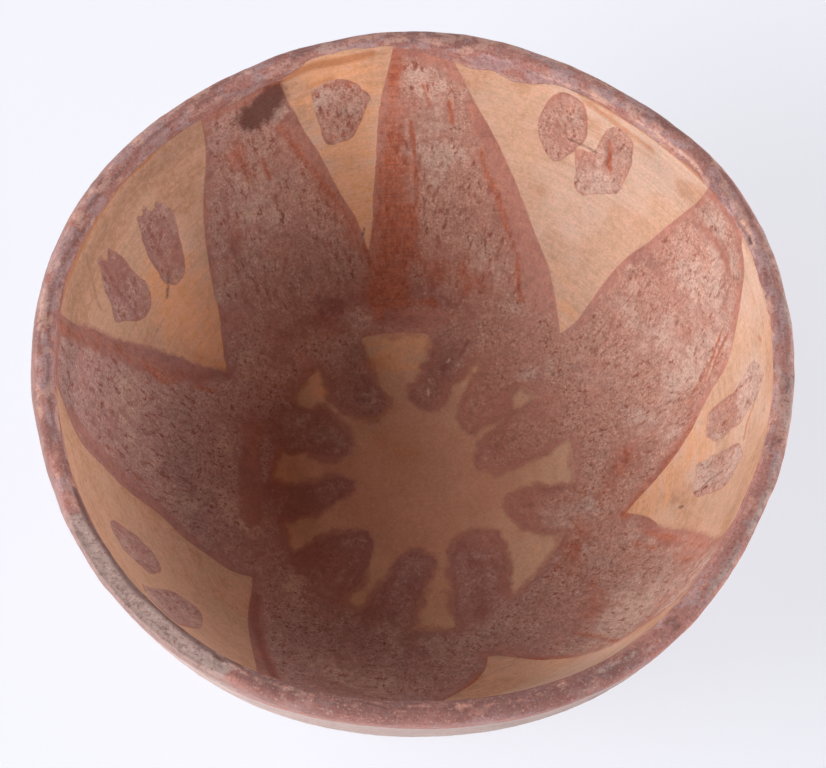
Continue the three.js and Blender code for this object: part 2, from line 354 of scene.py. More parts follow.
# Greyer crust
ASHEN_STROKES = [
    (15, 0.8, [(318, 78), (318, 100), (322, 122)]),
    (12, 1, [(314, 116), (322, 124), (326, 132)]),
    (11, 0.7, [(85, 88), (86, 110), (85, 130)]),
    (12, 0.6, [(16, 84), (24, 100), (29, 120)]),
    (6, 0.5, [(20, 26), (24, 36)]),
    (6, 0.8, [(346, 34), (346, 44)]),
    (11, 0.6, [(62, 112), (61, 130)]),
    (11, 0.6, [(54, 108), (52, 128)]),
    (10, 0.7, [(0, 98), (0, 125)]),
    (9, 0.7, [(349, 92), (349, 115)]),
]
# Nearly black cracks, scratches and flecks
DARK_STROKES = [
    (1.7, 1, [(203, 140), (209, 140.4), (215, 139.8), (222, 140.3), (229, 139.6), (237, 140.2),
                (243, 139.8)]),
    (0.6, 0.9, [(101.2, 78.4), (101.8, 76.6)]),
    (1.1, 0.8, [(145.6, 99), (147, 96), (148.8, 93.6)]),
    (0.8, 0.9, [(55.6, 119.7), (58.5, 119.6), (61.2, 119.3)]),
    (1.5, 0.45, [(158.4, 133), (159.6, 126), (161.6, 119), (162, 115)]),
    (1.4, 0.4, [(164.2, 128), (165, 122.5), (166.8, 119)]),
    (0.9, 0.9, [(345, 86.8), (345.2, 84.8)]),
    (0.8, 0.8, [(348.4, 106), (348.4, 100), (347.6, 95)]),
    (0.9, 0.7, [(263, 141.5), (266, 142.4)]),
    (1, 0.8, [(281, 139.4), (284, 139.4), (287, 139)]),
]
# Paint rubbed or flaked off, and one painted glint on a dash of the floor
BARE_AND_GLINT_STROKES = [
    (1.6, 0.75, [(36, 139.8), (48, 139.2), (60, 139.4), (70, 138.2)]),
    (3.5, 0.45, [(125, 143.5), (140, 144), (155, 144), (170, 144), (185, 144), (203, 144)]),
    (1.6, 0.6, [(241, 141), (246, 142), (252, 141.4), (262, 143), (272, 141.4), (283, 142.6),
                (293, 141.2)]),
    (1.3, 1, [(20.6, 140.8), (23.6, 140.8), (25.3, 140)]),
    (1.2, 0.9, [(239, 139.6), (240.5, 140.4)]),
    (1.5, 0.4, [(4, 140.6), (352, 141), (335, 140.6), (322, 141)]),
    (1.2, 0.7, [(68, 136), (64, 137.4), (60, 137)]),
    (0.8, 1, [(75, 40), (75.4, 39)]),
    # A painted glint: a white fleck on a dash of the floor
    (1, 1, [(81.6, 29.6), (81.2, 28)]),
]
# Grey wear on the lip
GREY_STROKES = [
    (7, 1.3, [(209, 143.6), (215, 143.4), (224, 143.2), (234, 143.2), (240, 143)]),
    (6, 1.1, [(207, 149), (215, 149.6), (226, 150), (242, 149)]),
    (2.6, 0.6, [(22, 145.2), (0, 145), (340, 145), (318, 144.6)]),
    (2.4, 0.45, [(292, 142), (297, 142), (304, 142.4)]),
    (3, 0.4, [(244, 142), (250, 141.6), (256, 142.6)]),
]

# Chips out of the lip: bearing, millimetres along the section, radius, depth
CHIPS = [
    (21.6, 141, 1.8, 0.7), (25, 140.3, 1.3, 0.5), (239.8, 140.6, 1.6, 0.6), (250, 142, 2.2, 0.4),
    (271, 145.5, 2, 0.4), (286, 143.5, 1.8, 0.35), (133, 143.5, 1.6, 0.3), (312, 144, 2, 0.4),
]


def smooth(value, low, high):
    """0 up to low, 1 from high on, and a soft step between them."""
    share = np.clip((value - low) / (high - low), 0, 1)
    return share * share * (3 - 2 * share)


def noise(places, cell, seed):
    """Smooth noise between -1 and 1 at places (..., 3), with its bumps about cell apart."""
    scaled = (places / cell).astype(np.float32)
    base = np.floor(scaled).astype(np.int64)
    within = scaled - base
    within = within * within * (3 - 2 * within)
    values = np.random.default_rng(seed).uniform(-1, 1, HASH_SIZE).astype(np.float32)
    keys = [[(base[..., axis] + step) * prime for step in (0, 1)]
            for axis, prime in enumerate(HASH_PRIMES)]
    weights = [(1 - within[..., axis], within[..., axis]) for axis in range(3)]
    total = 0
    for i, j, k in itertools.product((0, 1), repeat=3):
        key = (keys[0][i] ^ keys[1][j] ^ keys[2][k]) & (HASH_SIZE - 1)
        total = total + weights[0][i] * weights[1][j] * weights[2][k] * values[key]
    return total


def clouds(places, cell, seed, octaves=3, roughness=0.55):
    """Noise in octaves, each half as wide as the last, from about -1 to 1."""
    shares = [roughness ** i for i in range(octaves)]
    layers = [share * noise(places, cell / 2 ** i, seed + 100 * i)
              for i, share in enumerate(shares)]
    return CLOUD_GAIN * sum(layers) / sum(shares)


# The wall's outside line: a Bezier curve, measured along its length
half_lip = LIP_THICKNESS / 2
lip_edge_height = HEIGHT - half_lip * math.sin(LIP_LEAN) - math.hypot(
    half_lip * math.sin(LIP_LEAN), LIP_CROWN * math.cos(LIP_LEAN))
side_inset = SIDE_SWEEP * lip_edge_height * math.tan(LIP_LEAN)
CONTROL = np.array([
    (BASE_RADIUS, 0),
    (BASE_RADIUS + HEEL_SWEEP * (RIM_RADIUS - BASE_RADIUS), 0),
    (RIM_RADIUS - side_inset, lip_edge_height * (1 - SIDE_SWEEP)),
    (RIM_RADIUS, lip_edge_height),
])


def bezier(t):
    t = np.asarray(t, float)[..., None]
    a, b, c, d = CONTROL
    return (1 - t) ** 3 * a + 3 * (1 - t) ** 2 * t * b + 3 * (1 - t) * t ** 2 * c + t ** 3 * d


def steps_along(points):
    """Length along a line of points, at each of them."""
    return np.concatenate([[0], np.cumsum(np.linalg.norm(np.diff(points, axis=0), axis=1))])


curve_steps = np.linspace(0, 1, CURVE_STEPS + 1)
curve_lengths = steps_along(bezier(curve_steps))
WALL_LENGTH = curve_lengths[-1]
COIL_WIDTH = (WALL_LENGTH - DISC_TURN_UP - RIM_COIL_WIDTH) / COIL_COUNT
JOINTS = [DISC_TURN_UP + i * COIL_WIDTH for i in range(COIL_COUNT + 1)]


def wall_frame(along):
    """The outside line's point, direction and inward normal at distances along it."""
    t = np.interp(along, curve_lengths, curve_steps)
    point = bezier(t)
    nudge = 1e-4
    direction = bezier(np.minimum(t + nudge, 1)) - bezier(np.maximum(t - nudge, 0))
    direction /= np.linalg.norm(direction, axis=-1, keepdims=True)
    return point, direction, np.stack([-direction[..., 1], direction[..., 0]], -1)


def outside(along):
    point, _, inward = wall_frame(along)
    coil = (along - DISC_TURN_UP) / COIL_WIDTH
    ridge = np.where((coil > 0) & (coil < COIL_COUNT), COIL_RIDGE * np.abs(np.sin(np.pi * coil)), 0)
    return point - inward * ridge[..., None]


def inside(along):
    point, _, inward = wall_frame(along)
    share = along / WALL_LENGTH
    heel = (HEEL_THICKNESS - WALL_THICKNESS) * (1 - smooth(share, 0, HEEL_ENDS))
    thinned = (WALL_THICKNESS - LIP_THICKNESS) * smooth(share, HEEL_ENDS, 1)
    return point + inward * (WALL_THICKNESS + heel - thinned)[..., None]


def floor(share):
    edge_radius, edge_height = inside(np.array(0.0))
    height = FLOOR_THICKNESS + (edge_height - FLOOR_THICKNESS) * smooth(share, 0, 1)
    return np.stack([edge_radius * share, height], -1)


def lip(turn):
    point, direction, inward = wall_frame(np.full(turn.shape, WALL_LENGTH))
    across = half_lip * (1 - np.cos(turn))
    up = LIP_CROWN * np.sin(turn)
    return point + inward * across[..., None] + direction * up[..., None]


def underside(radius):
    return np.stack([radius, 0 * radius], -1)


# One line round the section: from the floor's middle up the inside, over the lip, down the
# outside and back to the middle of the base. The rows where a clay piece ends are kept.
section, inner_rows, outer_rows = [], [], []


def follow(shape, first, last, length, step):
    """Adds a stretch of the section without its last point, and returns its first row."""
    row = sum(len(stretch) for stretch in section)
    count = max(2, math.ceil(length / step))
    section.append(shape(np.linspace(first, last, count + 1)[:-1]))
    return row


inner_stops = [0] + [joint - LAP for joint in JOINTS] + [WALL_LENGTH]
outer_stops = [0] + JOINTS + [WALL_LENGTH]
follow(floor, 0, 1, BASE_RADIUS, INSIDE_STEP)
for low, high in zip(inner_stops, inner_stops[1:]):
    inner_rows.append(follow(inside, low, high, high - low, INSIDE_STEP))
lip_in_row = follow(lip, math.pi, 0, 3 * LIP_THICKNESS / 2, LIP_STEP)
for high, low in zip(outer_stops[:0:-1], outer_stops[-2::-1]):
    outer_rows.append(follow(outside, high, low, high - low, OUTSIDE_STEP))
lip_out_row = outer_rows[0]
base_row = follow(underside, BASE_RADIUS, 0, BASE_RADIUS, OUTSIDE_STEP)
outer_rows = outer_rows[1:][::-1]  # now from the disc's joint upwards
inner_rows = inner_rows[1:]
section = np.concatenate(section + [np.zeros((1, 2))])
ROWS = len(section)

along = steps_along(section)  # millimetres from the floor's middle, round the whole section
direction = np.gradient(section, axis=0)
direction /= np.linalg.norm(direction, axis=1, keepdims=True)
outward = np.stack([-direction[:, 1], direction[:, 0]], -1)
bearings = np.arange(COLUMNS) * 360 / COLUMNS
turn = np.radians(bearings)
LIP_IN, LIP_OUT = along[lip_in_row], along[lip_out_row]

# Every vertex's place along the section, bearing and radius
S, B = np.meshgrid(along, bearings, indexing="ij")
RADIUS = np.broadcast_to(section[:, :1], S.shape)
is_under = np.arange(ROWS)[:, None] >= base_row


def turned(profile):
    """A profile of points or directions (rows, 2), turned about the axis to every bearing."""
    across, up = profile[:, :1], profile[:, 1:]
    return np.stack([across * np.cos(turn), across * np.sin(turn), up + 0 * turn], -1)


# Two charts for noise, in millimetres: in space, and rolled out along the wall, where brush
# strokes and scraping run up and round
flat = turned(section)
rolled = turned(np.stack([np.minimum(section[:, 0], ROLL_RADIUS), along], -1))


def towards(bearing):
    """1 at a bearing, 0 at right angles to it, -1 on the far side."""
    return np.cos(np.radians(B - bearing))


def degrees_from(bearing, places):
    """How far bearings are from one of them, from -180 to 180."""
    return (places - bearing + 180) % 360 - 180


def spline(points, closed):
    """A smooth line through points, by Catmull and Rom."""
    points = np.asarray(points, float)
    if closed:
        padded = np.concatenate([points[-1:], points, points[:2]])
    else:
        before, after = 2 * points[:1] - points[1:2], 2 * points[-1:] - points[-2:-1]
        padded = np.concatenate([before, points, after])
    t = (np.arange(SPLINE_STEPS) / SPLINE_STEPS)[:, None]
    spans = []
    for a, b, c, d in zip(padded, padded[1:], padded[2:], padded[3:]):
        bend, swing = 2 * a - 5 * b + 4 * c - d, 3 * b - a - 3 * c + d
        spans.append(0.5 * (2 * b + (c - a) * t + bend * t ** 2 + swing * t ** 3))
    return np.concatenate(spans + ([] if closed else [points[-1:]]))


def unwrapped(places):
    """Places with bearings that don't jump at a whole turn."""
    places = np.array(places, float)
    places[:, 0] = np.degrees(np.unwrap(np.radians(places[:, 0])))
    return places


def gap_to(starts, steps):
    """Distance from the origin to the nearest of the lines from starts by steps (..., lines, 2)."""
    share = np.clip(-(starts * steps).sum(-1) / np.maximum((steps ** 2).sum(-1), TINY), 0, 1)
    return np.sqrt(((starts + steps * share[..., None]) ** 2).sum(-1).min(-1))


def distance_in(outline):
    """Distance to a closed outline (..., corners, 2) from the origin of each, positive within."""
    following = np.roll(outline, -1, axis=-2)
    edge = following - outline
    gap = gap_to(outline, edge)
    crosses = (outline[..., 1] > 0) != (following[..., 1] > 0)
    rise = np.where(crosses, edge[..., 1], 1)
    at = outline[..., 0] - outline[..., 1] * edge[..., 0] / rise
    within = (crosses & (at > 0)).sum(-1) % 2 == 1
    return np.where(within, gap, -gap)


def wall_distance(outline):
    """Signed distance, in millimetres, from every vertex to an outline on the wall."""
    outline = unwrapped(outline)
    found = np.full(S.shape, -FAR)
    (low, bottom), (high, top) = outline.min(axis=0), outline.max(axis=0)
    middle = (low + high) / 2
    around = degrees_from(middle, B)
    reach = np.degrees(FAR / OUTLINE_RADIUS)
    beside = (around > low - middle - reach) & (around < high - middle + reach)
    near = beside & (S > bottom - FAR) & (S < min(top + FAR, LIP_OUT))
    x = np.radians(outline[:, 0] - middle - around[near][:, None]) * RADIUS[near][:, None]
    y = outline[:, 1] - S[near][:, None]
    found[near] = np.clip(distance_in(np.stack([x, y], -1)), -FAR, FAR)
    return found


def laid_flat(bearing, radius):
    """Points (..., 2) on the floor, in millimetres."""
    a = np.radians(bearing)
    return np.stack([radius * np.cos(a), radius * np.sin(a)], -1)


def floor_distance(places):
    """The same for a smooth outline on the floor, which is near enough flat."""
    outline = spline(laid_flat(*np.array(places, float).T), True)
    found = np.full(S.shape, -FAR)
    near = S < np.hypot(*outline.T).max() + FAR
    here = laid_flat(B[near], S[near])
    found[near] = np.clip(distance_in(outline - here[:, None]), -FAR, FAR)
    return found


def closeness(strokes):
    """How close each vertex is to a stroke: its strength on its line, fading to 0 at its edge."""
    found = np.zeros(S.shape)
    for half_width, strength, line in strokes:
        line = spline(unwrapped(line), False)
        (low, bottom), (high, top) = line.min(axis=0), line.max(axis=0)
        rows = np.flatnonzero((along > bottom - half_width) & (along < top + half_width))
        middle = (low + high) / 2
        least_radius = max(section[rows, 0].min(), STROKE_RADIUS)
        reach = (high - low) / 2 + math.degrees(half_width / least_radius)
        away = degrees_from(middle, bearings)
        columns = np.flatnonzero(np.abs(away) < reach)
        x = np.radians(line[:, 0] - middle - away[columns][:, None])
        x = x * section[rows, 0][:, None, None]
        y = np.broadcast_to((line[:, 1] - along[rows][:, None])[:, None], x.shape)
        points = np.stack([x, y], -1)
        gap = gap_to(points[..., :-1, :], np.diff(points, axis=-2))
        here = np.ix_(rows, columns)
        found[here] = np.maximum(found[here], strength * np.clip(1 - gap / half_width, 0, 1))
    return found


def round_value(table):
    """A value for every bearing from (bearing, value) pairs, in straight lines between them."""
    return np.interp(B, *np.array(table, float).T, period=360)


# Paint: distance inside its edge, in millimetres, negative on bare slip
paint = np.full(S.shape, FAR)
for notch, low_side, high_side in WINDOWS:
    sides = unwrapped([notch] + low_side + [notch] + high_side)
    low_line = spline(sides[:len(low_side) + 1], False)
    high_line = spline(sides[len(low_side) + 1:], False)
    paint = np.minimum(paint, -wall_distance(np.concatenate([low_line, high_line[:0:-1]])))
petals = np.minimum(paint, -floor_distance(MEDALLION))
small = np.full(S.shape, -FAR)
for dash in DASHES:
    small = np.maximum(small, floor_distance(dash))
for dab in DABS:
    small = np.maximum(small, wall_distance(spline(unwrapped(dab), True)))
up_wall, round_wall = rolled * (1, 1, 0.3), rolled * (0.3, 0.3, 1)
brushed = clouds(up_wall, 3.5, 52, 3)
small = small + 0.6 * brushed + 0.45 * clouds(up_wall, 1.6, 65, 2)
paint = np.maximum(petals, small)
lip_edge = round_value(LIP_PAINT_INSIDE) + 0.5 * noise(rolled, 3.5, 11)
lip_edge = lip_edge + 0.25 * noise(rolled, 1.4, 12)
outer_limit = round_value(LIP_PAINT_OUTSIDE) + noise(rolled, 9, 13) + 0.5 * noise(rolled, 2.5, 14)
lip_paint = np.minimum(S - lip_edge, outer_limit - S)
paint = np.clip(np.maximum(np.where(S < LIP_OUT, paint, -FAR), lip_paint), -FAR, FAR)

# The zones of the section, each fading out over a few millimetres
on_floor = 1 - smooth(S, *FLOOR_ENDS)
on_outside = smooth(S, LIP_OUT, LIP_OUT + 8)
on_lip = smooth(S, LIP_IN - 3, LIP_IN) * (1 - smooth(S, LIP_OUT, LIP_OUT + 3))

# Washes and marks: the listed strokes, softened and frayed
frayed, along_wall = clouds(flat, 6, 51, 4), clouds(round_wall, 3, 53, 3)
rust = smooth(closeness(RUST_STROKES) + 0.2 * brushed + 0.1 * frayed, 0, 1.0)
maroon = smooth(closeness(MAROON_STROKES) + 0.2 * frayed, 0, 1.0)
stain = smooth(closeness(STAIN_STROKES) + 0.15 * along_wall, 0.05, 0.9)
smoke = smooth(closeness(SMOKE_STROKES) + 0.12 * frayed, 0.2, 0.95)
plain = smooth(closeness(PLAIN_STROKES) + 0.2 * frayed, 0.05, 0.6)
thin = smooth(closeness(THIN_STROKES), 0, 0.6)
red_side = smooth(towards(275), 0, 0.9)  # the near side, where the worn lip is redder
bare_and_glint = smooth(closeness(BARE_AND_GLINT_STROKES) + 0.3 * frayed, 0.25, 0.95) - 0.16 * on_lip * red_side
grey = smooth(closeness(GREY_STROKES) + 0.25 * frayed, 0.1, 0.9)
dark = closeness(DARK_STROKES)

# Clouds of tone over the slip, the paint, the lip and the outside, with painted shade on the lip's outer
# half at the left and partly in the floor's middle. The far right side is paler.
slow = clouds(flat, 26, 54, 4)
paler_side = towards(40)
mauve = smooth(-paler_side + 0.3 * frayed, -0.8, 0.8)
light_slip = closeness(PALE_STROKES)
pale = smooth(slow + 0.4 * paler_side - 0.5 * on_floor + 0.9 * light_slip, -0.1, 0.9)
tan = clouds(flat, 15, 55, 4) - 0.4 * paler_side + 0.8 * smooth(S, 112, 132) - 1.2 * light_slip
tan = np.maximum(smooth(tan, 0, 0.8), 0.5 * smooth(clouds(round_wall, 5, 56), 0.1, 0.8))
honey = smooth(closeness(HONEY_STROKES) + 0.25 * along_wall + 0.15 * frayed, 0, 1.1)
brown = smooth(clouds(flat, 12, 57, 4) + 0.4 * brushed - 0.2 * paler_side, -0.35, 0.6)
ashen = smooth(clouds(flat, 11, 58, 4) + 0.9 * closeness(ASHEN_STROKES) + 0.3 * frayed, 0, 0.8)
brick = smooth(clouds(rolled * (0.8, 0.8, 1), 3, 59, 4, 0.65) + 0.3 * red_side, -0.35, 0.35)
peach = smooth(clouds(rolled * (0.8, 0.8, 1), 2.4, 63, 3, 0.65), 0, 0.5) * (1 - 0.55 * red_side)
lip_patches = clouds(rolled * (0.6, 0.6, 1), 4, 67, 4, 0.65)
maroon = np.maximum(maroon, 0.7 * on_lip * smooth(lip_patches, 0.05, 0.6))
# Painted shade: the lip's outer half darkened on the left side, most at bearing 190 and none on the right
# half
painted_lip_shade = smooth(S, 143, 146.5) * (1 - smooth(S, 148.5, 150)) * np.clip(-towards(10), 0, 1)
tone = 0.55 + 0.08 * towards(135) * (1 - on_floor) - 0.06 * smooth(S, 112, 132)
tone = tone + 0.06 * clouds(flat, 8, 66, 3) + 0.3 * closeness(LIGHTER_STROKES)
tone = tone - 0.35 * closeness(DARKER_STROKES)
# Browner, darker slip in the middle of the floor: partly the slip's own colour, partly painted shade at the
# bottom of the deep hollow
floor_brown_and_shade = 1 - smooth(S + 12 * clouds(flat, 12, 60, 4), 14, 44)
maroon = np.maximum(maroon, (0.42 - 0.12 * paler_side) * on_floor * smooth(small + 0.5 * frayed, -1.2, 0.8))
smoke = np.maximum(smoke, 0.5 * on_outside * smooth(slow + 0.15 * frayed, -0.05, 0.9))
halo = 0.7 * on_floor * smooth(paint + 1.5 * frayed, -3, 0)
worn = is_under * smooth(clouds(flat, 7, 61, 5, 0.7), -0.2, 0.5)

# Crust: what is left of a thick grey film on the paint, thinner at its edges and under strokes
small_film = smooth(small + 1.3 * frayed, -1 + 0.5 * on_floor, 1 + 1.5 * on_floor)
crust = np.maximum(smooth(petals + 2.5 * frayed, -1.5, 5), (1 - 0.3 * on_floor) * small_film)
crust = crust * (1 - 0.8 * plain) * (1 - 0.85 * rust) * (1 - 0.7 * maroon)
crust = crust * (1 - smooth(lip_paint, -4, -1))
crust = crust * (0.55 + 0.45 * smooth(clouds(flat, 8, 62, 4, 0.65) + 0.3 * brushed, -0.45, 0.3))

# Relief: hand-smoothed hollows, scraping that runs round, crusted and pitted paint, a lumpy lip
scraped = noise(rolled * (0.35, 0.35, 1), 2.2, 32)
height = 0.1 * noise(flat, 11, 31) + 0.05 * scraped * (1 - on_floor)
height = height + on_outside * (0.18 * noise(rolled, 14, 33) + 0.08 * noise(round_wall, 3, 34))
lumps = 0.22 * noise(rolled, 7, 35) + 0.1 * noise(rolled, 2.2, 36) + 0.06 * noise(rolled, 1.1, 37)
height = height + on_lip * lumps
height = height + 0.04 * smooth(paint, 0, 0.8) + crust * (0.05 + 0.07 * noise(flat, 1.6, 38))
height = height - 0.14 * crust * smooth(noise(rolled * (1, 1, 0.4), 1.5, 39), 0.45, 0.7)
height = height - 0.35 * on_lip * smooth(bare_and_glint + 0.25 * noise(flat, 1.8, 40), 0.45, 0.7)
chip_edge = 0.5 * noise(flat, 1.7, 41)
for chip_bearing, chip_place, chip_radius, chip_depth in CHIPS:
    across = np.radians(degrees_from(chip_bearing, B)) * RADIUS
    gap = np.hypot(across, S - chip_place) + chip_edge
    height = height - chip_depth * (1 - smooth(gap, 0.3 * chip_radius, chip_radius))
height = np.where(is_under, -np.abs(height) * smooth(section[:, :1], 0, 4), height)


def wave(waves):
    """The sum of some waves round the bowl, at every bearing."""
    return sum(size * np.cos(lobes * (turn - math.radians(crest))) for lobes, size, crest in waves)


def uneven(points):
    """The hand's unevenness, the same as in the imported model."""
    share = np.maximum(0, points[..., 2] / HEIGHT)
    scale = 1 + wave(OUT_OF_ROUND) * share ** OUT_OF_ROUND_GROWTH / RIM_RADIUS
    lift = wave(LIP_WAVE)
    away = np.abs(degrees_from(WEAR_BEARING, bearings))
    wear = 1 - smooth(away, WEAR_HALF_WIDTH / 2, WEAR_HALF_WIDTH)
    raised = points[..., 2] + lift * share ** LIP_WAVE_GROWTH
    return np.stack([points[..., 0] * scale, points[..., 1] * scale,
                     np.minimum(raised, HEIGHT + lift - WEAR_DEPTH * wear)], -1)


points = uneven(flat) + turned(outward) * height[..., None]
points[..., 2] = np.maximum(points[..., 2], 0)
round_bowl = (np.roll(points, -1, 1) - np.roll(points, 1, 1)) / 2
normals = np.cross(np.gradient(points, axis=0), round_bowl)
normals = normals / np.maximum(np.linalg.norm(normals, axis=-1, keepdims=True), TINY)
normals[0], normals[-1] = (0, 0, 1), (0, 0, -1)  # where all columns meet

# How much softer the paint's edges are on the floor and where it is thin
SOFT_ON_FLOOR = 0.55
SOFT_WHERE_THIN = 0.85
softness = np.maximum(SOFT_ON_FLOOR * on_floor, SOFT_WHERE_THIN * thin)
POINT_VALUES = {
    "paint": paint * (1 - softness), "lip_paint": np.clip(lip_paint, -FAR, FAR), "crust": crust,
    "rust": rust, "maroon": maroon, "stain": stain, "smoke": smoke, "dark": dark, "bare_and_glint": bare_and_glint,
    "grey": grey, "pale": pale, "tan": tan, "brown": brown, "mauve": mauve, "ashen": ashen,
    "brick": brick, "honey": honey, "peach": peach, "red_side": red_side, "tone": tone,
    "painted_lip_shade": painted_lip_shade, "floor_brown_and_shade": floor_brown_and_shade, "halo": halo, "worn": worn,
    "on_wall": 1 - on_floor, "outer_edge": 0.7 * smooth(S + 0.8 * frayed - outer_limit, -2.2, 0),
}


def stride(row):
    """How many of the grid's columns one step of this row takes."""
    step = 1
    while section[row, 0] < HALVED_BELOW / step and step < WIDEST_STEP:
        step *= 2
    return step


def make_piece(name, stretches, closed):
    """One clay piece: rows of the grid, bridged in turn, with a joint face between stretches."""
    rows = [row for first, last in stretches for row in range(first, last + 1)]
    rings, places = [], []
    total = 0
    for row in rows:
        count = 1 if row in (0, ROWS - 1) else COLUMNS // stride(row)
        rings.append(np.arange(total, total + count))
        places.append((row, np.arange(count) * (COLUMNS // count)))
        total += count
    faces, joint_faces = [], []
    for i in range(len(rows) if closed else len(rows) - 1):
        j = (i + 1) % len(rows)
        target = faces if rows[j] == rows[i] + 1 else joint_faces
        target.extend(bridge(rings[i], rings[j]))
    mesh = bpy.data.meshes.new(name)
    picked = (np.concatenate([np.full(len(columns), row) for row, columns in places]),
              np.concatenate([columns for _, columns in places]))
    mesh.from_pydata((points[picked] * MM).tolist(), [], faces + joint_faces)
    for key, values in POINT_VALUES.items():
        attribute = mesh.attributes.new(key, "FLOAT", "POINT")
        attribute.data.foreach_set("value", values[picked].astype(np.float32))
    attribute = mesh.attributes.new("rolled", "FLOAT_VECTOR", "POINT")
    attribute.data.foreach_set("vector", rolled[picked].astype(np.float32).ravel())
    mesh.materials.append(ware)
    mesh.materials.append(raw_clay)
    slots = np.zeros(len(mesh.polygons), np.int32)
    slots[len(faces):] = 1
    mesh.polygons.foreach_set("material_index", slots)
    mesh.polygons.foreach_set("use_smooth", np.ones(len(mesh.polygons), bool))
    corner = np.empty(len(mesh.loops), np.int32)
    mesh.loops.foreach_get("vertex_index", corner)
    corner_normals = normals[picked][corner]
    face_of = np.repeat(np.arange(len(mesh.polygons)), [len(f) for f in faces + joint_faces])
    face_normals = np.empty(len(mesh.polygons) * 3, np.float32)
    mesh.polygons.foreach_get("normal", face_normals)
    in_joint = face_of >= len(faces)
    corner_normals[in_joint] = face_normals.reshape(-1, 3)[face_of[in_joint]]
    mesh.normals_split_custom_set(corner_normals.tolist())
    piece = bpy.data.objects.new(name, mesh)
    bpy.context.scene.collection.objects.link(piece)
    return piece


def bridge(a, b):
    """Faces between two rings, of which one may have half as many vertices, or only one."""
    if len(a) == len(b):
        return np.stack([a, b, np.roll(b, -1), np.roll(a, -1)], -1).tolist()
    if len(a) == 1:
        return np.stack([np.full(len(b), a[0]), b, np.roll(b, -1)], -1).tolist()
    if len(b) == 1:
        return np.stack([a, np.full(len(a), b[0]), np.roll(a, -1)], -1).tolist()
    if len(b) == 2 * len(a):
        next_a = np.roll(a, -1)
        first, middle, last = b[::2], b[1::2], np.roll(b[::2], -1)
        faces = [(a, first, middle), (a, middle, next_a), (next_a, middle, last)]
    else:
        next_b = np.roll(b, -1)
        first, middle, last = a[::2], a[1::2], np.roll(a[::2], -1)
        faces = [(first, b, middle), (middle, b, next_b), (middle, next_b, last)]
    return np.concatenate([np.stack(face, -1) for face in faces]).tolist()


class Graph:
    """Adds shader nodes to one material."""

    def __init__(self, name):
        self.material = bpy.data.materials.new(name)
        self.material.use_nodes = True
        self.tree = self.material.node_tree
        self.tree.nodes.clear()

    def fill(self, made, inputs):
        for key, value in inputs.items():
            if isinstance(value, bpy.types.NodeSocket):
                self.tree.links.new(value, made.inputs[key])
            else:
                made.inputs[key].default_value = value

    def node(self, kind, inputs=(), **settings):
        made = self.tree.nodes.new(kind)
        for key, value in settings.items():
            setattr(made, key, value)
        self.fill(made, dict(inputs))
        return made

    def value(self, name):
        return self.node("ShaderNodeAttribute", attribute_name=name).outputs["Fac"]

    def stretched(self, vector, scale):
        inputs = {0: vector, 1: scale}
        return self.node("ShaderNodeVectorMath", inputs, operation="MULTIPLY").outputs[0]

    def space(self):
        """Places on the piece, in millimetres."""
        return self.stretched(self.node("ShaderNodeTexCoord").outputs["Object"], (1 / MM,) * 3)

    def rolled(self, *scale):
        """Places on the wall as it is rolled out."""
        found = self.node("ShaderNodeAttribute", attribute_name="rolled").outputs["Vector"]
        return self.stretched(found, scale)

    def noise(self, vector, cell, detail, roughness=0.5):
        inputs = {"Vector": vector, "Scale": 1 / cell, "Detail": detail, "Roughness": roughness}
        return self.node("ShaderNodeTexNoise", inputs, noise_dimensions="3D").outputs["Fac"]

    def ramp(self, value, low, high, to_low=0, to_high=1):
        """A soft step from to_low to to_high as value goes from low to high."""
        names = ("Value", "From Min", "From Max", "To Min", "To Max")
        inputs = dict(zip(names, (value, low, high, to_low, to_high)))
        return self.node("ShaderNodeMapRange", inputs, interpolation_type="SMOOTHSTEP").outputs[0]

    def math(self, operation, a, b=0):
        return self.node("ShaderNodeMath", {0: a, 1: b}, operation=operation).outputs[0]

    def times(self, a, b):
        return self.math("MULTIPLY", a, b)

    def ragged(self, field, noise, amount):
        """A field with its contours moved to and fro by noise."""
        return self.math("ADD", field, self.times(self.math("SUBTRACT", noise, 0.5), amount))

    def cover(self, name, noise, amount=0.5, most=1.0):
        """A mask from the mesh as a cover from 0 to most, frayed by finer noise."""
        return self.ramp(self.ragged(self.value(name), noise, amount), 0.12, 0.88, 0, most)

    def toned(self, colour, *swings):
        """A colour made lighter and darker by noises, each with how far it swings."""
        tone = 1
        for noise, amount in swings:
            tone = self.ragged(tone, noise, amount)
        inputs = {0: colour, "Scale": tone}
        return self.node("ShaderNodeVectorMath", inputs, operation="SCALE").outputs[0]

    def mix(self, factor, a, b):
        """Colour a with b over it. A mix node's colours are its inputs 6 and 7 and its output 2."""
        a, b = ((*value, 1) if isinstance(value, tuple) else value for value in (a, b))
        made = self.tree.nodes.new("ShaderNodeMix")
        made.data_type = "RGBA"
        self.fill(made, {0: factor, 6: a, 7: b})
        return made.outputs[2]

    def layers(self, colour, noise, *rows):
        """Lays covers over a colour in turn: mask, how far noise frays it, its most, its colour."""
        for name, amount, most, over in rows:
            colour = self.mix(self.cover(name, noise, amount, most), colour, over)
        return colour

    def surface(self, inputs):
        """The finished material."""
        shader = self.node("ShaderNodeBsdfPrincipled", inputs)
        self.node("ShaderNodeOutputMaterial", {"Surface": shader.outputs[0]})
        return self.material


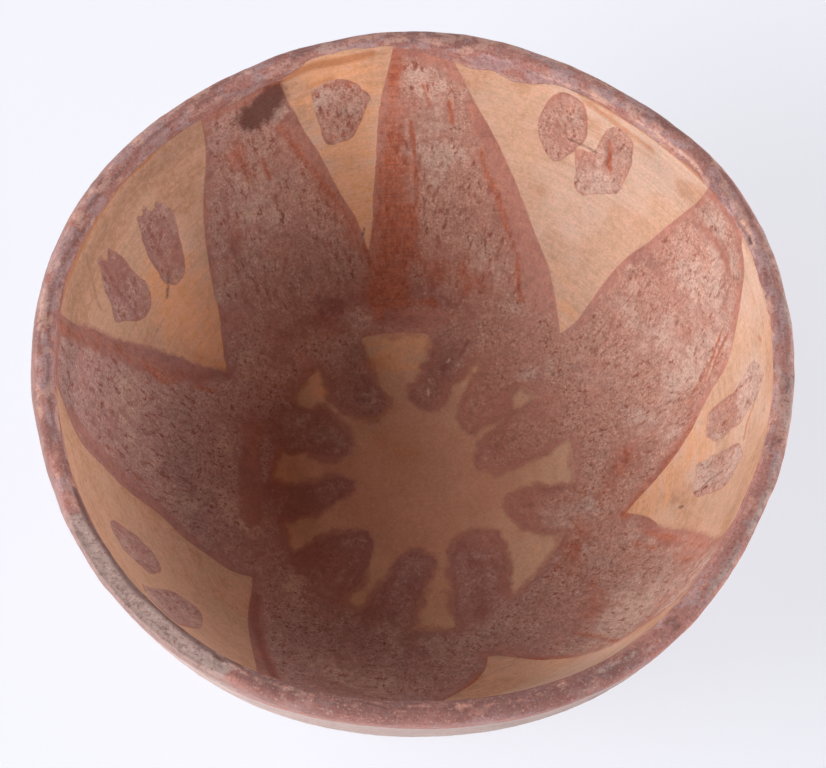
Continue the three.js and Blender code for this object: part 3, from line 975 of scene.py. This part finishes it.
SLIP = (0.60, 0.36, 0.225)
SLIP_PALE = (0.65, 0.44, 0.32)
SLIP_PINK = (0.63, 0.375, 0.275)
SLIP_HONEY = (0.75, 0.37, 0.175)
SLIP_TAN = (0.54, 0.285, 0.16)
# Browner slip for the middle of the floor, dark enough to be partly painted shade of the hollow
SLIP_FLOOR_BROWN_AND_SHADE = (0.51, 0.235, 0.14)
STAIN = (0.48, 0.18, 0.07)
RED = (0.46, 0.20, 0.142)
RED_BROWN = (0.37, 0.152, 0.11)
RED_MAUVE = (0.35, 0.165, 0.14)
MAROON = (0.28, 0.09, 0.066)
RUST = (0.45, 0.12, 0.048)
CRUST = (0.47, 0.245, 0.172)
CRUST_MAUVE = (0.425, 0.25, 0.215)
CRUST_GREY = (0.56, 0.38, 0.295)
# Pale dust and grains, and the colour of a painted glint
DUST_AND_GLINT = (0.66, 0.48, 0.40)
PIT = (0.24, 0.052, 0.033)
CHARCOAL = (0.11, 0.04, 0.03)
LIP_MAUVE = (0.405, 0.24, 0.22)
LIP_BRICK = (0.385, 0.17, 0.135)
LIP_DARK = (0.21, 0.09, 0.075)
# Dark mauve for the darker mottling in the lip's grey wear, and for painted shade on the lip's outer half
LIP_DARK_MOTTLE_AND_SHADE = (0.24, 0.145, 0.125)
SPALL = (0.60, 0.36, 0.27)
SALMON = (0.56, 0.27, 0.19)
WORN_GREY = (0.40, 0.29, 0.245)
OUTSIDE_SLIP = (0.44, 0.34, 0.31)
SMOKE = (0.12, 0.036, 0.023)
RAW_CLAY = (0.42, 0.19, 0.11)
RAW_CLAY_DARK = (0.32, 0.14, 0.08)
BUMP = 0.00018  # the finest relief's depth, in metres
BUMP_STRENGTH = 0.7


class FineDetail:
    """The noises finer than the mesh, which every layer of the ware shares."""

    def __init__(self, g):
        space = g.space()
        self.mottle = g.noise(space, 2.1, 4, 0.66)
        self.grain = g.noise(space, 0.7, 2, 0.65)
        self.lines = g.noise(g.rolled(0.06, 0.06, 1), 0.6, 3, 0.65)
        self.streaks = g.noise(g.rolled(1, 1, 0.18), 1.1, 4, 0.66)
        self.pits = g.noise(g.rolled(1, 1, 0.36), 1.2, 3, 0.65)
        vein = g.math("ABSOLUTE", g.math("SUBTRACT", self.pits, 0.47))
        self.scratches = g.ramp(vein, 0, 0.03, 1, 0)


def slip_colour(g, fine):
    """Burnished slip: pale and tan clouds, a browner middle of the floor that is partly painted shade, lines
    left by the burnishing stone, grains, stains.
    """
    colour = g.layers(SLIP, fine.mottle, ("pale", 0.8, 1, SLIP_PALE), ("tan", 0.8, 0.85, SLIP_TAN))
    # The floor's middle made browner and darker, partly painted shade
    colour = g.mix(g.times(g.value("floor_brown_and_shade"), 0.9), colour, SLIP_FLOOR_BROWN_AND_SHADE)
    colour = g.layers(colour, fine.mottle, ("honey", 0.6, 0.85, SLIP_HONEY))
    texture = g.ramp(g.value("on_wall"), 0, 1, 0.35, 1)
    colour = g.mix(g.times(g.ramp(fine.mottle, 0.4, 0.62, 0, 0.45), texture), colour, SLIP_PINK)
    colour = g.layers(colour, fine.mottle, ("halo", 0.8, 1, RED_BROWN),
                      ("stain", 0.9, 0.75, STAIN), ("worn", 0.9, 0.8, RAW_CLAY))
    colour = g.mix(g.ramp(fine.pits, 0.7, 0.78, 0, 0.5), colour, RED_BROWN)
    colour = g.layers(colour, fine.mottle, ("outer_edge", 0.5, 1, OUTSIDE_SLIP))
    lines = g.ragged(0.5, fine.lines, g.value("on_wall"))
    mottle = g.ragged(0.5, fine.mottle, texture)
    return g.toned(colour, (lines, 0.45), (mottle, 0.5), (fine.grain, 0.55), (g.value("tone"), 1))


def paint_colour(g, fine):
    """Brushed red: plain red-brown, bared rust with fine cracks, and speckled, pitted crust."""
    colour = g.mix(g.cover("brown", fine.streaks, 1.0), RED, RED_BROWN)
    colour = g.mix(g.times(g.value("mauve"), 0.6), colour, RED_MAUVE)
    colour = g.mix(g.ramp(fine.streaks, 0.55, 0.68, 0, 0.4), colour, RUST)
    colour = g.layers(colour, fine.mottle, ("maroon", 0.9, 0.85, MAROON))
    crust = g.cover("crust", fine.mottle, 1.1)
    crusted = g.mix(g.value("ashen"), g.mix(g.value("mauve"), CRUST, CRUST_MAUVE), CRUST_GREY)
    colour = g.mix(g.times(crust, 0.85), colour, crusted)
    rust = g.cover("rust", fine.pits, 0.9, 0.85)
    colour = g.mix(rust, colour, RUST)
    colour = g.mix(g.times(g.ramp(fine.lines, 0.48, 0.62, 0, 0.65), rust), colour, MAROON)
    speckled = g.math("MAXIMUM", crust, g.ramp(rust, 0, 1, 0.3, 0.6))
    colour = g.mix(g.times(g.times(fine.scratches, 0.4), speckled), colour, DUST_AND_GLINT)
    colour = g.mix(g.times(g.ramp(fine.grain, 0.53, 0.72, 0, 0.5), crust), colour, DUST_AND_GLINT)
    colour = g.mix(g.times(g.ramp(fine.grain, 0.47, 0.3, 0, 0.55), speckled), colour, PIT)
    colour = g.mix(g.times(g.ramp(fine.pits, 0.54, 0.7, 0, 0.85), speckled), colour, PIT)
    swings = (fine.mottle, 0.8), (fine.streaks, 0.6), (fine.grain, 0.3), (g.value("tone"), 1)
    return g.toned(colour, *swings), speckled


def lip_colour(g, fine):
    """The worn lip: mauve and brick in patches, dark bands, grey wear, pale spalls and painted shade on its
    outer half at the left.
    """
    spall = g.mix(g.value("red_side"), SPALL, SALMON)
    colour = g.layers(LIP_MAUVE, fine.mottle, ("brick", 1.2, 1, LIP_BRICK),
                      ("maroon", 1.2, 0.9, LIP_DARK), ("peach", 1.2, 0.48, spall))
    grey = g.cover("grey", fine.mottle, 0.9, 0.9)
    colour = g.mix(grey, colour, WORN_GREY)
    colour = g.mix(g.times(g.ramp(fine.mottle, 0.5, 0.36, 0, 0.7), grey), colour, LIP_DARK_MOTTLE_AND_SHADE)
    colour = g.layers(colour, fine.mottle, ("bare_and_glint", 1.8, 0.8, spall))
    colour = g.mix(g.ramp(fine.grain, 0.56, 0.72, 0, 0.35), colour, DUST_AND_GLINT)
    colour = g.mix(g.ramp(fine.grain, 0.45, 0.32, 0, 0.65), colour, PIT)
    # Over the outer edge's slip, painted shade on the lip's outer half at the left
    colour = g.layers(colour, fine.mottle, ("outer_edge", 0.5, 1, OUTSIDE_SLIP),
                      ("painted_lip_shade", 0.8, 0.75, LIP_DARK_MOTTLE_AND_SHADE))
    return g.toned(colour, (fine.mottle, 0.9), (fine.lines, 0.5))


def make_ware():
    g = Graph("slipped_ware")
    fine = FineDetail(g)
    painted = g.ramp(g.ragged(g.value("paint"), fine.mottle, 0.9), -0.18, 0.18)
    on_lip = g.ramp(g.ragged(g.value("lip_paint"), fine.mottle, 1.2), -0.25, 0.25)
    paint, speckled = paint_colour(g, fine)
    colour = g.mix(painted, slip_colour(g, fine), paint)
    colour = g.mix(on_lip, colour, lip_colour(g, fine))
    colour = g.layers(colour, fine.mottle, ("smoke", 1.6, 0.88, SMOKE), ("dark", 1.1, 0.75, CHARCOAL))
    off_lip = g.math("SUBTRACT", 1, on_lip)
    # Pale dust where paint is bared off the lip, and a painted glint on one floor dash
    colour = g.mix(g.times(g.cover("bare_and_glint", fine.grain, 0.8, 0.8), off_lip), colour, DUST_AND_GLINT)
    rough = g.ramp(g.math("MAXIMUM", speckled, on_lip), 0, 1, 0.55, 0.85)
    relief = g.times(fine.grain, g.ramp(speckled, 0, 1, 0.15, 1.2))
    relief = g.math("ADD", relief, g.times(painted, 0.25))
    relief = g.math("ADD", relief, g.times(g.times(fine.lines, 0.35), g.value("on_wall")))
    relief = g.math("ADD", relief, g.times(g.times(fine.mottle, on_lip), 1.6))
    bump = g.node("ShaderNodeBump", {"Height": relief, "Distance": BUMP, "Strength": BUMP_STRENGTH})
    return g.surface({"Base Color": colour, "Roughness": rough, "Normal": bump.outputs[0]})


def make_raw_clay():
    g = Graph("raw_clay")
    colour = g.mix(g.noise(g.space(), 4, 4), RAW_CLAY, RAW_CLAY_DARK)
    return g.surface({"Base Color": colour, "Roughness": 0.9})


ware = make_ware()
raw_clay = make_raw_clay()

# Each clay piece: its stretches of rows, and whether a face closes the last one to the first
PIECES = {"base_disc": ([(0, inner_rows[0]), (outer_rows[0], ROWS - 1)], False)}
for index in range(COIL_COUNT):
    inner, outer = inner_rows[index:index + 2], outer_rows[index:index + 2]
    PIECES[f"wall_coil_{index + 1}"] = ([tuple(inner), tuple(outer[::-1])], True)
PIECES["rim_coil"] = ([(inner_rows[COIL_COUNT], outer_rows[COIL_COUNT])], True)

for node, (stretches, closed) in PIECES.items():
    piece = make_piece(node + "_fired", stretches, closed)
    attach(piece, "root")
    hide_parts(node)

# Floor: translucent and lit from beneath, as on a studio's light table, so that shadows stay faint
FLOOR_HALF = 3
FLOOR_COLOUR = (0.32, 0.335, 0.36, 1)
FLOOR_LIGHT = (0.95, 0.945, 1, 1)
FLOOR_GLOW = 0.6
mesh = bpy.data.meshes.new("floor")
corners = [(x * FLOOR_HALF, y * FLOOR_HALF, 0) for x, y in ((-1, -1), (1, -1), (1, 1), (-1, 1))]
mesh.from_pydata(corners, [], [(0, 1, 2, 3)])
ground = bpy.data.objects.new("floor", mesh)
scene = bpy.context.scene
scene.collection.objects.link(ground)
mesh.materials.append(Graph("pale_floor").surface({
    "Base Color": FLOOR_COLOUR, "Roughness": 0.9,
    "Emission Color": FLOOR_LIGHT, "Emission Strength": FLOOR_GLOW}))

# Light: eight soft boxes all round, the strongest on the left, and a faint even fill
FILL_COLOUR = (0.93, 0.93, 1, 1)
FILL_STRENGTH = 0.03
LAMP_DISTANCE = 1.4
LAMP_SIZE = 0.8
LAMP_COLOUR = (0.97, 0.955, 1)
BOWL_MIDDLE = Vector((0, 0, 0.04))
# Bearing and elevation in degrees, power in watts
SOFT_BOXES = {
    "key_low": (200, 15, 13.8), "key_high": (200, 35, 12), "left_far": (160, 35, 4.8),
    "near_left": (240, 15, 5.3), "far": (80, 15, 4.6), "far_right": (40, 18, 7.2),
    "right": (0, 16, 7.6), "near_right": (320, 15, 8.3),
}
scene.view_settings.view_transform = "Standard"
world = bpy.data.worlds.new("fill")
world.use_nodes = True
fill = world.node_tree.nodes["Background"].inputs
fill["Color"].default_value = FILL_COLOUR
fill["Strength"].default_value = FILL_STRENGTH
scene.world = world
for name, (bearing, elevation, power) in SOFT_BOXES.items():
    lamp = bpy.data.lights.new(name, "AREA")
    lamp.shape = "SQUARE"
    lamp.size = LAMP_SIZE
    lamp.energy = power
    lamp.color = LAMP_COLOUR
    b, e = math.radians(bearing), math.radians(elevation)
    place = Vector((math.cos(b) * math.cos(e), math.sin(b) * math.cos(e), math.sin(e)))
    place = place * LAMP_DISTANCE
    soft_box = bpy.data.objects.new(name, lamp)
    soft_box.location = place
    soft_box.rotation_euler = (BOWL_MIDDLE - place).to_track_quat("-Z", "Y").to_euler()
    scene.collection.objects.link(soft_box)

# Camera, as the photograph was taken
ELEVATION = math.radians(64)
DISTANCE = 0.9
TARGET = Vector((0, -0.0038, 0.08))
FOCAL_PIXELS = 3447
PICTURE_WIDTH = 826
SENSOR = 36
camera = bpy.data.objects.new("camera", bpy.data.cameras.new("camera"))
camera.data.sensor_width = SENSOR
camera.data.lens = FOCAL_PIXELS / PICTURE_WIDTH * SENSOR
back = Vector((0, -math.cos(ELEVATION), math.sin(ELEVATION)))
camera.location = TARGET + back * DISTANCE
camera.rotation_euler = (-back).to_track_quat("-Z", "Y").to_euler()
scene.collection.objects.link(camera)
scene.camera = camera
